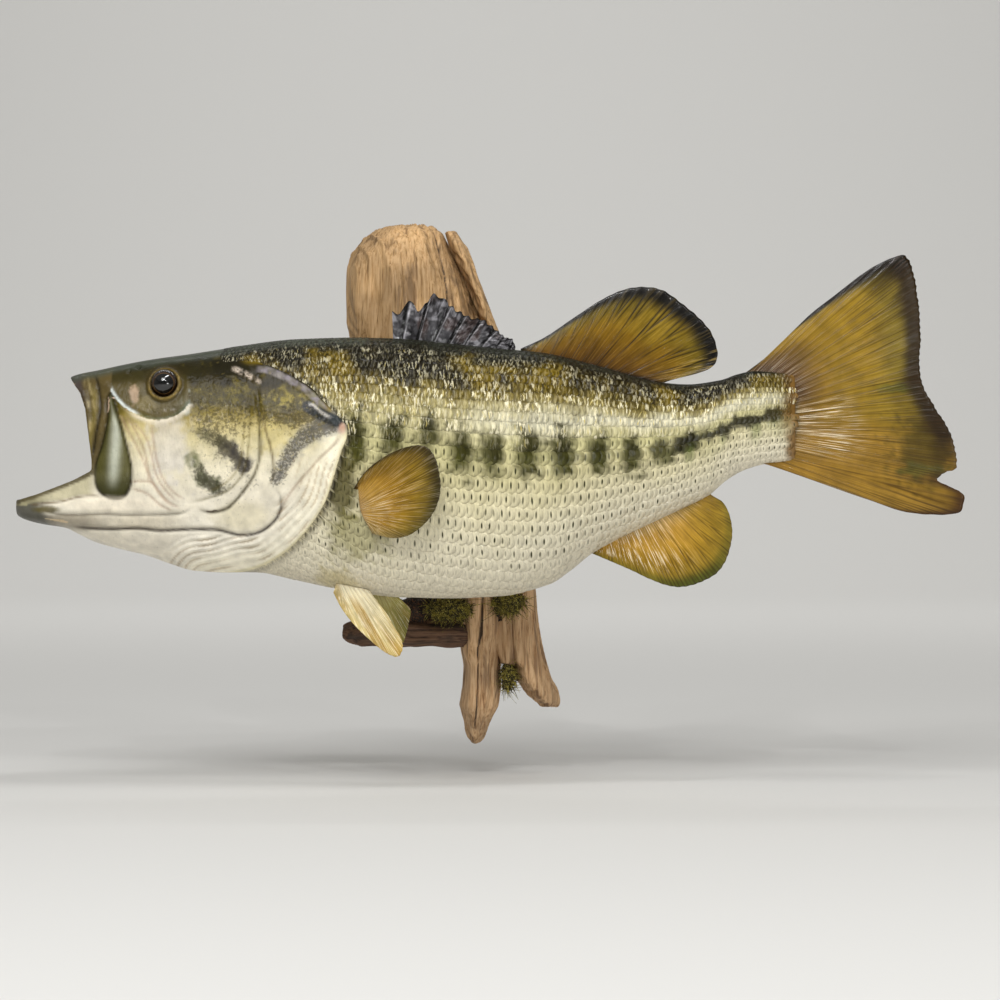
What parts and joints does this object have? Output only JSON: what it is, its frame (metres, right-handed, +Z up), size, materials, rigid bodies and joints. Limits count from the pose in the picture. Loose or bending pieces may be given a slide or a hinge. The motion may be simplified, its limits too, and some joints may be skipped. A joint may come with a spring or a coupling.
{
  "type": "mounted largemouth bass on driftwood",
  "caption": "Life-size still model of an open-mouthed largemouth bass, bowed gently, fixed on a driftwood panel that hangs flat on a wall.",
  "frame": {"origin": "on the wall plane, on the flat back of the driftwood slab behind the fish's middle", "axes": "+X from the head to the tail fin, +Y into the wall, +Z up"},
  "size_m": [0.5975, 0.1513, 0.343],
  "materials": {
    "skin": "painted fish skin under clear gloss lacquer",
    "jaw_skin": "pale painted jaw and throat skin under clear gloss lacquer",
    "fin": "amber fin membrane under clear gloss lacquer",
    "pale_fin": "cream fin membrane, satin",
    "eye": "polished glass eye",
    "mouth": "painted mouth lining",
    "driftwood": "weathered bare driftwood",
    "bark": "dark weathered branch",
    "moss": "dry moss"
  },
  "bodies": {
    "root": {"head": "skin", "upper_jaw": "skin", "maxilla_left": "skin", "maxilla_right": "skin", "lower_jaw": "jaw_skin", "throat_membrane": "jaw_skin", "gill_cover_left": "skin", "gill_cover_right": "skin", "tongue": "mouth", "eye_left": "eye", "eye_right": "eye", "trunk_front": "skin", "trunk_rear": "skin", "tail_stalk": "skin", "dorsal_fin_spiny": "fin", "dorsal_fin_soft": "fin", "caudal_fin": "fin", "anal_fin": "fin", "pectoral_fin_left": "fin", "pectoral_fin_right": "fin", "pelvic_fin_left": "pale_fin", "pelvic_fin_right": "pale_fin", "driftwood_slab": "driftwood", "driftwood_sliver": "driftwood", "driftwood_leg_left": "driftwood", "driftwood_leg_right": "driftwood", "driftwood_branch": "bark", "moss_ledge": "moss", "moss_tuft": "moss", "moss_crotch": "moss"}
  },
  "joints": []
}
